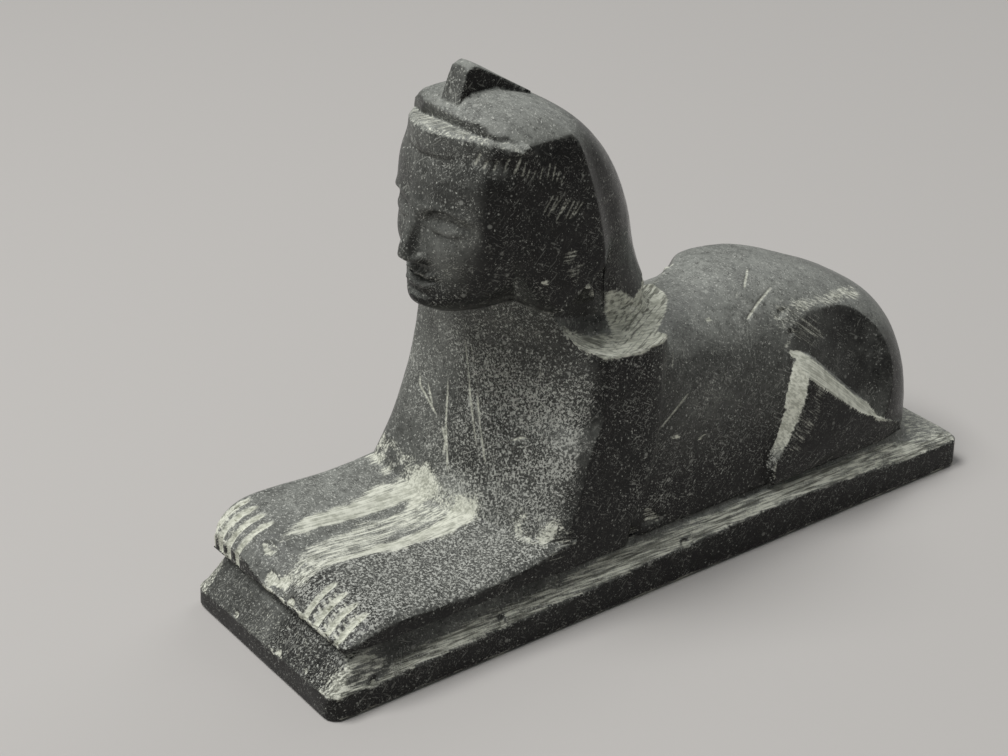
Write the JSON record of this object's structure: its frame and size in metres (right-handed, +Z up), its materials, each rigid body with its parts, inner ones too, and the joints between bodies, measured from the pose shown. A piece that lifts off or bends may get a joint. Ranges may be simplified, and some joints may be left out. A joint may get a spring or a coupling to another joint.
{
  "type": "sphinx statue",
  "caption": "Reclining sphinx carved with its slab base from one block of dark polished stone, made to stand on a shelf or desk as an ornament.",
  "frame": {"origin": "centre of the slab's underside", "axes": "+Z up, -Y is the way the sphinx faces, +X its proper left side"},
  "size_m": [0.0624, 0.2, 0.1343],
  "materials": {
    "dark_stone": "hand-carved and waxed to a soft polish, with fine white flecks, chisel marks and pale rubbed edges"
  },
  "bodies": {
    "root": {"sphinx_statue": "dark_stone"}
  },
  "joints": []
}
